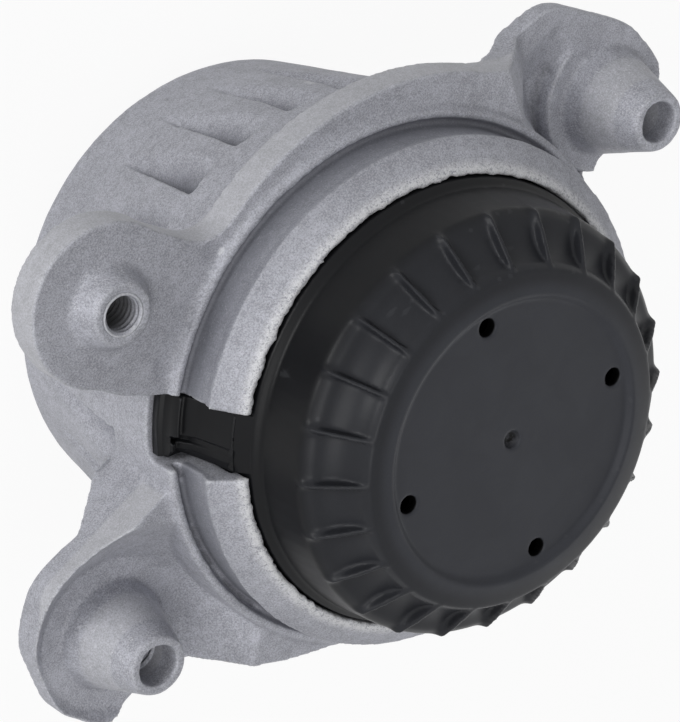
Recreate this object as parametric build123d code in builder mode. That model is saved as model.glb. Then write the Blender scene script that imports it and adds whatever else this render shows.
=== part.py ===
from build123d import *
import os
from math import cos, radians, sin, tan

# Hydraulic engine mount. Millimetres, +Z along the mount axis towards the domed cap.
# The origin is on the axis, in the core's contact face, and +X points at the plain boss.

# Heights of the cast housing
rear_z = 6.0                # open rear face, clear of the core's contact face
shoulder_z = 40.0           # seat of the spring's outer ring
flange_z = 70.0             # front face of the flange and of the left ear
flange_t = 7.5
ledge_rise = 1.5            # raised ring between flange and collar
collar_h = 14.0             # rolled rim of the collar, above the flange
rim_t = 4.5
dish_drop = 11.5            # sunk face round the two long bosses, below the flange
boss_rise = 5.0             # all three boss faces lie in one plane, above the flange
ear_t = 4.5

# Radii of the cast housing, each wall and step measured from the bore
bore_r = 46.5
rim_grip = 0.9              # crimped rim that holds the cap
spring_seat = 3.0
rear_opening = 12.5
rear_lip_t = 6.0
collar_wall = 4.8
crease = 0.8                # soft crease under the rim, proud of the collar's wall
crease_drop = 5.0
crease_h = 2.4
rim_edge = 1.2
edge_break = 0.5
edge_r = 3.0
bead_gap = 1.9
ledge_w = 1.8
front_taper = 1.5           # the cast wall widens towards the flange
rear_taper = 5.3
rear_round = 4.0

# Flange outline: one large arc, a little off the axis
flange_reach = 3.3
flange_shift = 5.0
flange_start = 30.0
blend_r = 8.0               # hollow between flange and left ear

# Ears and bosses
bolt_circle_r = 73.5
ear_angles = (120.0, 180.0, 0.0)
thread_minor_d = 6.8        # core hole of an M8 thread
relief_d = 8.4              # plain mouth of the two long bosses
relief_depths = (7.5, 10.0)
boss_tip_r = 6.0
short_boss_r = 9.5
long_boss_r = 11.3
left_ear_r = 16.2
left_ear_taper = 0.6
dish_r = 16.0
dish_slope = 46.0
right_dish_angle = 165.0    # from there the right ear's slope goes on straight
gusset_y = 23.5
gusset_t = 5.0
gusset_from = 4.2           # its outer end, from the boss's centre
gusset_lift = 3.0
gusset_depth = 19.0         # how far it runs down the body

# Slot through collar and flange, for the cap's lug
slot_from = 134.0
slot_to = 149.7
slot_drop = 6.4             # depth below the flange
slot_round = 2.4            # inner corners of the slot's floor

# Cooling pockets cast into the outer wall by two side cores
pocket_pitch = 13.85
pocket_sweep = 8.0
pocket_depth = 5.4          # below the front of the wall, at the steep side
pocket_fade = 3.4           # how far the floor rises towards the other side
pocket_front_gap = 19.0     # from the pocket's front end to the flange face
pocket_round = 2.5
core_sides = ((35.0, 20.0, 5), (215.0, 10.9, 5))

# Marks of the mould's ejector pins on the flange and the left ear
pin_marks = ((50.8, 29.7), (-14.9, 55.0), (-35.2, 44.9))
pin_mark_r = 2.4
pin_mark_depth = 0.3

# Cap
cap_rise = 21.0             # sunk disc above the collar's rim
cap_lip = 1.1
cap_wall = 2.5
cap_gap = 0.4               # between cap skirt and crimped rim
cap_foot_in = 1.5
cap_foot_h = 1.4
cap_edge_in = 2.4
cap_edge_drop = 7.4         # outer edge of the shoulder, below the sunk disc
cap_edge_round = 1.2
cap_shoulder_in = 9.1
cap_lip_in = 3.7
cap_lip_w = 2.2
cap_skirt_t = 2.8
cove_edge = 0.8             # hollow between shoulder and outer edge
cove_depth = 4.7
cove_lean = 0.62
rib_count = 24
rib_w = 0.9
rib_phase = 11.2
rib_proud = 0.4             # outer end of a rib, past the edge
rib_round = 1.1
vent_d = 3.7
vent_circle_r = 25.24
vent_phase = -19.5
gate_d = 3.6
gate_depth = 0.9
lug_angle = 139.4
lug_w = 7.2
lug_wall = 2.0
lug_step_drop = 2.6
lug_gap = 0.8               # between lug and the slot's floor
lug_side_gap = 1.0          # angle left free at each side of the slot
lug_in = 1.2                # end of the lug, inside the ledge ring

# Engine side: core, spring and stop
core_face_r = 23.0
core_neck_in = 3.0
core_neck_h = 3.0           # straight length above the stop plate
core_edge = 0.8
core_tip_r = 14.0
core_tip_edge = 3.0
core_tip_z = 50.0
core_thread_minor_d = 10.2  # core hole of an M12 thread
core_thread_depth = 28.0
dowel_hole_d = 6.0
dowel_hole_depth = 8.0
dowel_offset = 15.0
stop_gap = 4.5              # between stop plate and housing
stop_t = 3.0
stop_z = 18.0
buffer_t = 5.0
buffer_gap = 4.0            # between buffer and core
spring_foot_w = 7.0         # rubber that covers the stop plate round the core
spring_fold = 10.0          # height of the hollow under the spring
spring_grip = 6.0           # core tip left free of rubber

# Fluid side
fit = 0.1                   # radial clearance of everything pushed into the bore
ring_wall = 2.6
ring_h = 16.0
ring_lip = 3.0
ring_lip_t = 2.0
lower_plate_t = 5.0
upper_plate_t = 8.0
membrane_r = 22.0
membrane_t = 2.4
bead_t = 3.6
bellows_t = 1.6
bellows_rise = 15.4
bellows_drop = 2.4
bellows_wall_in = 4.8
bellows_fold_in = 6.6
bellows_fold_w = 12.0
bellows_lean = 5.0
channel_wall = 5.4          # between channel and plate rim
channel_w = 10.0
channel_depth = 5.5
channel_gap = 9.0
channel_gap_angle = 90.0
port_shift = 16.0
port_r = 3.0
window_r = 3.6
window_ring_r = 12.0
window_count = 6
rivet_r = 1.6
rivet_head_r = 2.9
rivet_head_h = 1.2
rivet_in = 4.0              # rivets' circle inside the channel
rivet_count = 3
seal_w = 2.0
seal_h = 2.0

# Heights and radii that follow
collar_z = flange_z + collar_h
boss_z = flange_z + boss_rise
dish_z = flange_z - dish_drop
back_z = flange_z - flange_t
ledge_z = flange_z + ledge_rise
slot_z = flange_z - slot_drop
pocket_front_z = flange_z - pocket_front_gap
cap_floor_z = collar_z + cap_rise
cap_edge_z = cap_floor_z - cap_edge_drop
cap_flange_top_z = collar_z - rim_t
ring_top_z = shoulder_z + ring_h
lower_top_z = ring_top_z + lower_plate_t
upper_top_z = lower_top_z + upper_plate_t
bead_top_z = upper_top_z + bead_t
seal_z = ring_top_z + (lower_plate_t - seal_h) / 2
rim_r = bore_r - rim_grip
spring_bore_r = bore_r - spring_seat
rear_hole_r = bore_r - rear_opening
collar_r = bore_r + collar_wall
bead_r = collar_r + bead_gap
ring_r = bead_r + ledge_w
front_r = ring_r - front_taper
rear_r = front_r - rear_taper
flange_r = ring_r + flange_reach
insert_r = bore_r - fit
cap_skirt_r = rim_r - cap_gap
cap_inner_r = cap_skirt_r - cap_skirt_t
cap_foot_r = cap_skirt_r - cap_foot_in
cap_edge_r = cap_skirt_r - cap_edge_in
cap_shoulder_r = cap_edge_r - cap_shoulder_in
cap_lip_r = cap_shoulder_r - cap_lip_in
lug_r = ring_r - lug_in
core_neck_r = core_face_r - core_neck_in
core_cone_z = stop_z + stop_t + core_neck_h
stop_r = spring_bore_r - stop_gap
bellows_top_z = bead_top_z + bellows_rise
bellows_low_z = bead_top_z + bellows_drop
bellows_wall_r = insert_r - bellows_wall_in
bellows_fold_r = bellows_wall_r - bellows_fold_in
bellows_foot_r = bellows_fold_r - bellows_fold_w
channel_out_r = insert_r - channel_wall
channel_in_r = channel_out_r - channel_w
channel_mid_r = channel_out_r - channel_w / 2
rivet_circle_r = channel_in_r - rivet_in
ring_in_r = insert_r - ring_wall


def polar(radius, angle):
    """Point in the ground plane at a radius and an angle in degrees."""
    return (radius * cos(radians(angle)), radius * sin(radians(angle)))


def radial_plane(angle):
    """Upright plane through the mount axis: local x is outwards at the angle, local y is up."""
    a = radians(angle)
    return Plane(origin=(0, 0, 0), x_dir=(cos(a), sin(a), 0), z_dir=(sin(a), -cos(a), 0))


boss_1, boss_2, boss_3 = [polar(bolt_circle_r, a) for a in ear_angles]


def dished_plate(centre, angle, turn):
    """Plate of even thickness that sinks to a flat round a boss and rises to the flange.

    The slope starts on the side at the angle and runs round the boss for the turn. A turn
    of less than a full one goes on straight, away from its start.
    """
    reach = bolt_circle_r - ring_r / 4
    rim = dish_r + dish_drop / tan(radians(dish_slope))
    shift = ear_t * (1 / sin(radians(dish_slope)) - 1 / tan(radians(dish_slope)))
    section = radial_plane(angle)
    section.origin = (centre[0], centre[1], 0)
    with BuildPart() as plate:
        with BuildSketch(section):
            with BuildLine():
                Polyline(
                    (0, dish_z),
                    (dish_r, dish_z),
                    (rim, flange_z),
                    (reach, flange_z),
                    (reach, back_z),
                    (rim + shift, back_z),
                    (dish_r + shift, dish_z - ear_t),
                    (0, dish_z - ear_t),
                    close=True,
                )
            make_face()
        revolve(axis=Axis((centre[0], centre[1], 0), (0, 0, 1)), revolution_arc=turn)
        if turn < 360:
            with BuildSketch(section):
                with BuildLine():
                    Polyline(
                        (-reach, dish_z),
                        (dish_r, dish_z),
                        (rim, flange_z),
                        (reach, flange_z),
                        (reach, back_z),
                        (rim + shift, back_z),
                        (dish_r + shift, dish_z - ear_t),
                        (-reach, dish_z - ear_t),
                        close=True,
                    )
                make_face()
            extrude(amount=reach)
    return plate.part


def outline_prism(centre, points, radii, low, high):
    """Prism over an outline round a centre, whose corners are rounded by one radius each."""
    with BuildPart() as prism:
        with BuildSketch(Plane.XY.offset(low)):
            with BuildLine():
                FilletPolyline(
                    *[(centre[0] + x, centre[1] + y) for x, y in points],
                    radius=radii,
                    close=True,
                )
            make_face()
        extrude(amount=high - low)
    return prism.part


# Outlines of the two long ears round their bosses, seen along the axis
right_ear_points = [
    (-29.5, 42.0), (-15.0, 29.6), (1.3, 27.0), (13.6, 9.0), (15.6, -5.0),
    (6.0, -13.0), (-7.5, -8.2), (-19.5, -19.5), (-43.5, -14.0), (-43.5, 20.0),
]
right_ear_radii = [2, 14, 10, 14, 9, 7, 8, 2, 2, 2]
lower_ear_points = [
    (44.0, 23.5), (-5.6, 23.5), (-14.6, 12.0), (-18.2, -3.0), (-13.0, -14.8),
    (5.5, -14.5), (21.5, -29.0), (43.5, -45.0), (53.5, 0.0),
]
lower_ear_radii = [2, 6, 12, 8, 7, 12, 20, 3, 2]

right_ear = outline_prism(boss_3, right_ear_points, right_ear_radii, dish_z - 2 * ear_t, flange_z)
right_ear = right_ear & dished_plate(boss_3, right_dish_angle, 180)
lower_ear = outline_prism(boss_2, lower_ear_points, lower_ear_radii, dish_z - 2 * ear_t, flange_z)
lower_ear = lower_ear & dished_plate(boss_2, 0, 360)


def pocket_cutter(side):
    """Solid that one pocket leaves out of the wall: steep on one side, fading on the other."""
    floor_r = front_r - pocket_depth + front_taper
    out_r = ring_r + flange_reach
    width = side * out_r * radians(pocket_sweep)
    with BuildPart() as cutter:
        with BuildSketch(Plane.XY.offset(rear_z)):
            with BuildLine():
                Polyline(
                    (floor_r, 0),
                    (out_r, 0),
                    (out_r, -width),
                    (floor_r + pocket_fade, -width),
                    close=True,
                )
            make_face()
        extrude(amount=pocket_front_z - rear_z)
        front = cutter.faces().sort_by(Axis.Z)[-1]
        inner = [e for e in front.edges() if 0 < abs(e.center().Y) < abs(width) and e.center().X < front_r]
        fillet(inner, pocket_round)
    return cutter.part


# Cast housing: flange and ears first, then the turned body over them
with BuildPart() as housing:
    # flange and left ear in one outline, from the right ear's slope round to the slot
    with BuildSketch(Plane.XY.offset(back_z)) as flange_outline:
        with Locations((flange_shift, 0)):
            Circle(flange_r)
        with Locations(Location((boss_1[0], boss_1[1], 0), (0, 0, 1), ear_angles[0])):
            Circle(left_ear_r)
            with Locations((-left_ear_r, 0)):
                Rectangle(2 * left_ear_r, 2 * (left_ear_r - left_ear_taper))
        corners = [
            v for v in flange_outline.vertices()
            if v.Y > 0 and v.X > boss_1[0] and abs(v.X) < ring_r / 2
        ]
        fillet(corners, blend_r)
        with BuildSketch(mode=Mode.PRIVATE) as sector:
            with BuildLine():
                Polyline(
                    (0, 0),
                    polar(2 * bolt_circle_r, flange_start),
                    polar(2 * bolt_circle_r, (flange_start + slot_from) / 2),
                    polar(2 * bolt_circle_r, (slot_from + slot_to) / 2),
                    close=True,
                )
            make_face()
        add(sector.sketch, mode=Mode.INTERSECT)
    extrude(amount=flange_t)
    add(right_ear)
    add(lower_ear)
    # gusset under the lower ear's straight side
    with BuildSketch(Plane.XZ.offset(-gusset_y)):
        with BuildLine():
            Polyline(
                (boss_2[0] + gusset_from, dish_z + gusset_lift),
                (-bore_r, back_z - gusset_depth),
                (-bore_r, flange_z - edge_break),
                (-ring_r + gusset_t / 2, flange_z - edge_break),
                (boss_2[0] + dish_r, flange_z - gusset_t),
                close=True,
            )
        make_face()
    extrude(amount=gusset_t)

    # body, ledge ring and collar
    with BuildSketch(Plane.XZ):
        with BuildLine():
            Line((0, rear_z), (rear_r - rear_round, rear_z))
            RadiusArc((rear_r - rear_round, rear_z), (rear_r, rear_z + rear_round), -rear_round)
            Polyline(
                (rear_r, rear_z + rear_round),
                (front_r, shoulder_z + edge_r),
                (ring_r, back_z),
                (ring_r, ledge_z - edge_break),
                (ring_r - edge_break, ledge_z),
                (bead_r, ledge_z),
                (bead_r - edge_break, flange_z - ledge_rise),
                (collar_r + edge_break, flange_z - ledge_rise),
                (collar_r, flange_z + ledge_rise),
                (collar_r, collar_z - crease_drop - crease_h),
                (collar_r + crease, collar_z - crease_drop),
                (rim_r + rim_edge, collar_z - edge_break / 2),
                (rim_r, collar_z),
                (0, collar_z),
                (0, rear_z),
            )
        make_face()
    revolve(axis=Axis.Z)

    # pockets in the outer wall, their steep sides away from the side core's pull
    for pull, first, count in core_sides:
        for side in (1, -1):
            cutter = pocket_cutter(side)
            for index in range(count):
                angle = pull + side * (first + index * pocket_pitch)
                add(cutter.moved(Location((0, 0, 0), (0, 0, 1), angle)), mode=Mode.SUBTRACT)

    # bosses
    for centre, foot_r, foot_z in (
        (boss_1, short_boss_r, flange_z - flange_t / 3),
        (boss_2, long_boss_r, dish_z),
        (boss_3, long_boss_r, dish_z),
    ):
        with BuildSketch(Plane.XY.offset(foot_z)):
            with Locations(centre):
                Circle(foot_r)
        with BuildSketch(Plane.XY.offset(boss_z)):
            with Locations(centre):
                Circle(boss_tip_r)
        loft()

    # bore for the fluid parts, spring bore and rear hole
    with BuildSketch(Plane.XZ):
        with BuildLine():
            Polyline(
                (0, rear_z),
                (rear_hole_r, rear_z),
                (rear_hole_r, rear_z + rear_lip_t),
                (spring_bore_r, rear_z + rear_lip_t),
                (spring_bore_r, shoulder_z),
                (bore_r, shoulder_z),
                (bore_r, cap_flange_top_z),
                (rim_r, cap_flange_top_z),
                (rim_r, collar_z),
                (0, collar_z),
                close=True,
            )
        make_face()
    revolve(axis=Axis.Z, mode=Mode.SUBTRACT)

    # slot for the cap's lug, round in the corners of its floor
    with BuildPart(mode=Mode.PRIVATE) as slot:
        with BuildSketch(Plane.XY.offset(slot_z)):
            with BuildLine():
                Polyline(
                    polar(rim_r, slot_from),
                    polar(bolt_circle_r, slot_from),
                    polar(bolt_circle_r, slot_to),
                    polar(rim_r, slot_to),
                    close=True,
                )
            make_face()
        extrude(amount=collar_z - slot_z)
        floor_edges = slot.faces().sort_by(Axis.Z)[0].edges().sort_by(SortBy.LENGTH)
        fillet(floor_edges[-2:], slot_round)
    add(slot.part, mode=Mode.SUBTRACT)

    # threaded holes right through, modelled at their core diameter
    with Locations([centre + (boss_z,) for centre in (boss_1, boss_2, boss_3)]):
        Hole(thread_minor_d / 2)
    for centre, depth in zip((boss_2, boss_3), relief_depths):
        with Locations(centre + (boss_z,)):
            Hole(relief_d / 2, depth)
    # shallow marks of the ejector pins
    with BuildSketch(Plane.XY.offset(flange_z)):
        with Locations(*pin_marks):
            Circle(pin_mark_r)
    extrude(amount=-pin_mark_depth, mode=Mode.SUBTRACT)

housing.part.label = "housing"

parts = [housing.part]


def keep(builder, label):
    """Name a finished piece and add it to the set."""
    builder.part.label = label
    parts.append(builder.part)


# Domed cap: moulded shell with a sunk disc, ribs over its shoulder and a lug in the slot
with BuildPart() as base_cap:
    with BuildSketch(Plane.XZ):
        with BuildLine():
            Polyline(
                (0, cap_floor_z - cap_wall),
                (0, cap_floor_z),
                (cap_lip_r - cap_lip_w, cap_floor_z),
                (cap_lip_r - cap_lip_w / 2, cap_floor_z + cap_lip),
                (cap_shoulder_r, cap_floor_z + cap_lip / 3),
                (cap_shoulder_r + cove_edge, cap_floor_z - cove_edge),
            )
            ThreePointArc(
                (cap_shoulder_r + cove_edge, cap_floor_z - cove_edge),
                (cap_shoulder_r + cove_depth * cove_lean, cap_floor_z - cove_depth),
                (cap_edge_r - cap_edge_round, cap_edge_z),
            )
            RadiusArc(
                (cap_edge_r - cap_edge_round, cap_edge_z),
                (cap_edge_r, cap_edge_z - cap_edge_round),
                -cap_edge_round,
            )
            Polyline(
                (cap_edge_r, cap_edge_z - cap_edge_round),
                (cap_foot_r, collar_z + cap_foot_h),
                (cap_skirt_r - cap_gap, collar_z + cap_gap),
                (cap_skirt_r, collar_z),
                (cap_skirt_r, cap_flange_top_z),
                (insert_r, cap_flange_top_z),
                (insert_r, bead_top_z),
                (cap_inner_r, bead_top_z),
                (cap_inner_r, collar_z),
                (cap_foot_r - cap_wall, collar_z + cap_wall),
                (cap_edge_r - cap_wall, cap_edge_z - cap_wall),
                (cap_shoulder_r + cove_edge, cap_floor_z - cove_depth - cap_wall),
                (cap_shoulder_r - cap_wall / 2, cap_floor_z - cap_wall),
                (0, cap_floor_z - cap_wall),
            )
        make_face()
    revolve(axis=Axis.Z)
    # one rib across the cove, repeated round the shoulder
    with BuildSketch(radial_plane(rib_phase)) as rib_outline:
        with BuildLine():
            Polyline(
                (cap_shoulder_r, cap_floor_z + cap_lip / 3),
                (cap_edge_r + rib_proud, cap_edge_z + rib_proud),
                (cap_edge_r + rib_proud, cap_edge_z - cap_wall),
                (cap_edge_r - cap_wall, cap_edge_z - cap_wall),
                (cap_shoulder_r, cap_floor_z - cove_edge),
                close=True,
            )
        make_face()
        ends = [v for v in rib_outline.vertices() if v.X > cap_edge_r]
        fillet(ends, rib_round)
    rib = extrude(amount=rib_w / 2, both=True, mode=Mode.PRIVATE)
    with PolarLocations(0, rib_count):
        add(rib)
    # lug that reaches out through the slot: a raised strip with a groove before its low end
    with BuildSketch(radial_plane(lug_angle)):
        with BuildLine():
            Polyline(
                (cap_inner_r + fit, bead_top_z),
                (bore_r + fit, bead_top_z),
                (bore_r + fit, slot_z + lug_gap),
                (lug_r, slot_z + lug_gap),
                (lug_r, flange_z - 2 * ledge_rise),
                (lug_r - ledge_rise, flange_z - ledge_rise),
                (lug_r - ledge_w - fit, flange_z - ledge_rise),
                (collar_r - ledge_w, flange_z + 2 * ledge_rise),
                (cap_skirt_r, cap_flange_top_z + ledge_rise),
                (cap_inner_r + fit, cap_flange_top_z + ledge_rise),
                close=True,
            )
        make_face()
    extrude(amount=lug_w / 2, both=True)
    # wall that closes the slot's whole width, with a low step before it
    for outer_r, top_z in (
        (bore_r + lug_wall, cap_flange_top_z + ledge_rise),
        (lug_r - ledge_w, flange_z - lug_step_drop),
    ):
        with BuildSketch(Plane.XY.offset(slot_z + lug_gap)):
            Circle(outer_r)
            Circle(bore_r + fit, mode=Mode.SUBTRACT)
            with BuildSketch(mode=Mode.PRIVATE) as wedge:
                with BuildLine():
                    Polyline(
                        (0, 0),
                        polar(2 * outer_r, slot_from + lug_side_gap),
                        polar(2 * outer_r, slot_to - lug_side_gap),
                        close=True,
                    )
                make_face()
            add(wedge.sketch, mode=Mode.INTERSECT)
        extrude(amount=top_z - slot_z - lug_gap)
    # four vents and the moulding gate's dimple
    with BuildSketch(Plane.XY.offset(cap_floor_z)):
        with PolarLocations(vent_circle_r, 4, start_angle=vent_phase):
            Circle(vent_d / 2)
    extrude(amount=-2 * cap_wall, mode=Mode.SUBTRACT)
    with BuildSketch(Plane.XY.offset(cap_floor_z)):
        Circle(gate_d / 2)
    extrude(amount=-gate_depth, mode=Mode.SUBTRACT)
keep(base_cap, "base_cap")

# Rolling diaphragm between the fluid and the air under the cap
with BuildPart() as bellows:
    with BuildSketch(Plane.XZ) as bellows_section:
        with BuildLine():
            Polyline(
                (0, bellows_low_z),
                (bellows_foot_r, bellows_low_z),
                (bellows_foot_r + bellows_lean, bellows_top_z - bellows_t),
                (bellows_fold_r + bellows_t, bellows_top_z - bellows_t),
                (bellows_wall_r - bellows_t, upper_top_z),
                (insert_r, upper_top_z),
                (insert_r, bead_top_z),
                (bellows_wall_r, bead_top_z),
                (bellows_fold_r + 2 * bellows_t, bellows_top_z),
                (bellows_foot_r + bellows_lean - bellows_t, bellows_top_z),
                (bellows_foot_r - bellows_t, bellows_low_z + bellows_t),
                (0, bellows_low_z + bellows_t),
                close=True,
            )
        make_face()
        folds = [v for v in bellows_section.vertices() if v.X > bellows_t and v.Y > bead_top_z + bellows_t]
        fillet(folds, bellows_t)
    revolve(axis=Axis.Z)
keep(bellows, "bellows_diaphragm")

# Channel plates with the membrane between them
with BuildPart() as upper_plate:
    with BuildSketch(Plane.XY.offset(lower_top_z)):
        Circle(insert_r)
    extrude(amount=upper_plate_t)
    # membrane pocket and channel, both open towards the lower plate
    with BuildSketch(Plane.XY.offset(lower_top_z)):
        Circle(membrane_r + fit)
    extrude(amount=membrane_t, mode=Mode.SUBTRACT)
    with BuildSketch(Plane.XY.offset(lower_top_z)) as channel:
        Circle(channel_out_r)
        Circle(channel_in_r, mode=Mode.SUBTRACT)
        with Locations(polar(channel_mid_r, channel_gap_angle)):
            Rectangle(channel_gap, 2 * channel_w, mode=Mode.SUBTRACT)
    extrude(amount=channel_depth, mode=Mode.SUBTRACT)
    # window grid over the membrane, and the channel's outlet
    with BuildSketch(Plane.XY.offset(lower_top_z)):
        Circle(window_r)
        with PolarLocations(window_ring_r, window_count):
            Circle(window_r)
        with Locations(polar(channel_mid_r, channel_gap_angle + port_shift)):
            Circle(port_r)
    extrude(amount=upper_plate_t, mode=Mode.SUBTRACT)
    with BuildSketch(Plane.XY.offset(lower_top_z)):
        with PolarLocations(rivet_circle_r, rivet_count):
            Circle(rivet_r)
    extrude(amount=upper_plate_t, mode=Mode.SUBTRACT)
keep(upper_plate, "upper_channel_plate")

with BuildPart() as lower_plate:
    with BuildSketch(Plane.XY.offset(ring_top_z)):
        Circle(insert_r)
    extrude(amount=lower_plate_t)
    with BuildSketch(Plane.XY.offset(ring_top_z)):
        Circle(window_r)
        with PolarLocations(window_ring_r, window_count):
            Circle(window_r)
        with Locations(polar(channel_mid_r, channel_gap_angle - port_shift)):
            Circle(port_r)
        with PolarLocations(rivet_circle_r, rivet_count):
            Circle(rivet_r)
    extrude(amount=lower_plate_t, mode=Mode.SUBTRACT)
    # groove for the seal
    with BuildSketch(Plane.XY.offset(seal_z)):
        Circle(bore_r)
        Circle(insert_r - seal_w, mode=Mode.SUBTRACT)
    extrude(amount=seal_h, mode=Mode.SUBTRACT)
keep(lower_plate, "lower_channel_plate")

with BuildPart() as seal:
    with BuildSketch(Plane.XY.offset(seal_z)):
        Circle(insert_r)
        Circle(insert_r - seal_w, mode=Mode.SUBTRACT)
    extrude(amount=seal_h)
keep(seal, "plate_seal")

with BuildPart() as membrane:
    with BuildSketch(Plane.XY.offset(lower_top_z)):
        Circle(membrane_r)
    extrude(amount=membrane_t)
keep(membrane, "decoupler_membrane")

with BuildPart() as rivets:
    with BuildSketch(Plane.XY.offset(ring_top_z)):
        with PolarLocations(rivet_circle_r, rivet_count):
            Circle(rivet_r)
    extrude(amount=upper_top_z - ring_top_z)
    for head_z, head_h in ((upper_top_z, rivet_head_h), (ring_top_z, -rivet_head_h)):
        with BuildSketch(Plane.XY.offset(head_z)):
            with PolarLocations(rivet_circle_r, rivet_count):
                Circle(rivet_head_r)
        extrude(amount=head_h)
keep(rivets, "plate_rivets")

# Spring: steel outer ring, rubber cone and aluminium core
with BuildPart() as outer_ring:
    with BuildSketch(Plane.XZ):
        with BuildLine():
            Polyline(
                (ring_in_r, shoulder_z),
                (insert_r, shoulder_z),
                (insert_r, ring_top_z),
                (ring_in_r - ring_lip, ring_top_z),
                (ring_in_r - ring_lip, ring_top_z - ring_lip_t),
                (ring_in_r, ring_top_z - ring_lip_t),
                close=True,
            )
        make_face()
    revolve(axis=Axis.Z)
keep(outer_ring, "spring_outer_ring")

with BuildPart() as core:
    with BuildSketch(Plane.XZ):
        with BuildLine():
            Polyline(
                (0, 0),
                (core_face_r - core_edge, 0),
                (core_face_r, core_edge),
                (core_face_r, stop_z),
                (core_neck_r, stop_z),
                (core_neck_r, core_cone_z),
                (core_tip_r, core_tip_z - core_tip_edge),
                (core_tip_r - core_tip_edge, core_tip_z),
                (0, core_tip_z),
                close=True,
            )
        make_face()
    revolve(axis=Axis.Z)
    with BuildSketch(Plane.XY):
        Circle(core_thread_minor_d / 2)
    extrude(amount=core_thread_depth, mode=Mode.SUBTRACT)
    with BuildSketch(Plane.XY):
        with Locations((dowel_offset, 0)):
            Circle(dowel_hole_d / 2)
    extrude(amount=dowel_hole_depth, mode=Mode.SUBTRACT)
keep(core, "core")

core_taper = (core_neck_r - core_tip_r) / (core_tip_z - core_tip_edge - core_cone_z)
spring_grip_z = core_tip_z - spring_grip
spring_grip_r = core_neck_r - core_taper * (spring_grip_z - core_cone_z)
with BuildPart() as main_spring:
    with BuildSketch(Plane.XZ):
        with BuildLine():
            Polyline(
                (core_neck_r, core_cone_z),
                (core_neck_r, stop_z + stop_t),
                (core_neck_r + spring_foot_w, stop_z + stop_t),
            )
            ThreePointArc(
                (core_neck_r + spring_foot_w, stop_z + stop_t),
                (core_neck_r + 2 * spring_foot_w, stop_z + stop_t + spring_fold),
                (ring_in_r, shoulder_z + core_edge),
            )
            Polyline(
                (ring_in_r, shoulder_z + core_edge),
                (ring_in_r, ring_top_z - ring_lip_t),
                (ring_in_r - ring_lip, ring_top_z - ring_lip_t),
            )
            ThreePointArc(
                (ring_in_r - ring_lip, ring_top_z - ring_lip_t),
                (core_neck_r + spring_foot_w, spring_grip_z - core_edge),
                (spring_grip_r, spring_grip_z),
            )
            Line((spring_grip_r, spring_grip_z), (core_neck_r, core_cone_z))
        make_face()
    revolve(axis=Axis.Z)
keep(main_spring, "main_spring")

with BuildPart() as stop_plate:
    with BuildSketch(Plane.XY.offset(stop_z)):
        Circle(stop_r)
        Circle(core_neck_r, mode=Mode.SUBTRACT)
    extrude(amount=stop_t)
keep(stop_plate, "rebound_stop_plate")

with BuildPart() as buffer:
    with BuildSketch(Plane.XY.offset(stop_z - buffer_t)):
        Circle(stop_r)
        Circle(core_face_r + buffer_gap, mode=Mode.SUBTRACT)
    extrude(amount=buffer_t)
keep(buffer, "rebound_buffer")

os.makedirs("parts", exist_ok=True)
for part in parts:
    export_step(part, "parts/" + part.label + ".step")
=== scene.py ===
"""Looks of a hydraulic engine mount, built round its packed construction model."""

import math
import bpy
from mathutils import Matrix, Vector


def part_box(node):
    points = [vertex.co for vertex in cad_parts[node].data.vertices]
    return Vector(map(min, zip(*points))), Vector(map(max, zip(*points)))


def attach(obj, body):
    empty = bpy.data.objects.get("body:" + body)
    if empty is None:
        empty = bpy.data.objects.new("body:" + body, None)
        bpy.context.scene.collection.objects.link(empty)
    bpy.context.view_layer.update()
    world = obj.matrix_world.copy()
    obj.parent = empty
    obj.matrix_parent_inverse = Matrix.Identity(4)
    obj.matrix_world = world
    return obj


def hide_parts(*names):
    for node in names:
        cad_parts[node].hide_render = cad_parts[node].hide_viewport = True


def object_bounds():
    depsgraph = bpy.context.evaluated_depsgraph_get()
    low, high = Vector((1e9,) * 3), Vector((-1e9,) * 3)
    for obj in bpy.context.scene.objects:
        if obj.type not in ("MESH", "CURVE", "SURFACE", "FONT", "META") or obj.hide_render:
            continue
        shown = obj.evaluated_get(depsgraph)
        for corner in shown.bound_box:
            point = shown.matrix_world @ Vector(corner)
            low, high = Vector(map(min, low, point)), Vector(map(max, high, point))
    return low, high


bl_info = {
    "name": "Engine mount looks",
    "version": (1, 0, 0),
    "blender": (4, 5, 0),
    "location": "3D View > Sidebar > Engine mount",
    "description": "Casting, cap, threads, rubber and stage of a hydraulic engine mount",
    "category": "Object",
}

import bmesh
import bpy
import numpy as np
from bpy.props import (
    FloatProperty,
    FloatVectorProperty,
    IntProperty,
    PointerProperty,
)
from mathutils import Matrix, Vector

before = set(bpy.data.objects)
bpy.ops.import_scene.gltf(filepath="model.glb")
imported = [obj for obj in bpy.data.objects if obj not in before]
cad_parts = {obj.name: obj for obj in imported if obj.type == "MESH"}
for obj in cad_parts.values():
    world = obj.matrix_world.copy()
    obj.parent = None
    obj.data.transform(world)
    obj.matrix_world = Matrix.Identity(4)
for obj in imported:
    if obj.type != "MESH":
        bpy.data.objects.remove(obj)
CAD_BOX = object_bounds()

MM = 0.001
BODY = "root"

# Places and sizes in the mount's own frame, in millimetres and degrees
BORE_R = 46.5
FLANGE_Z = 70.0
FLANGE_BACK_Z = 62.5
COLLAR_R = 51.3
LEDGE_R = 55.0  # raised ring between flange and collar
RIM_R = 45.6  # rolled rim that grips the cap
RIM_Z = 84.0

# Outer wall: it widens with the height above its rear end, then stays even
WALL_R = 53.5
WALL_TAPER = 5.3
WALL_REAR_Z = 10.0
WALL_RISE = 33.0
POCKET_DEEPENING = 0.28  # share of its depth by which a pocket's floor is drawn in
POCKET_SHALLOW = 0.4  # depth that stays as it is

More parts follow.
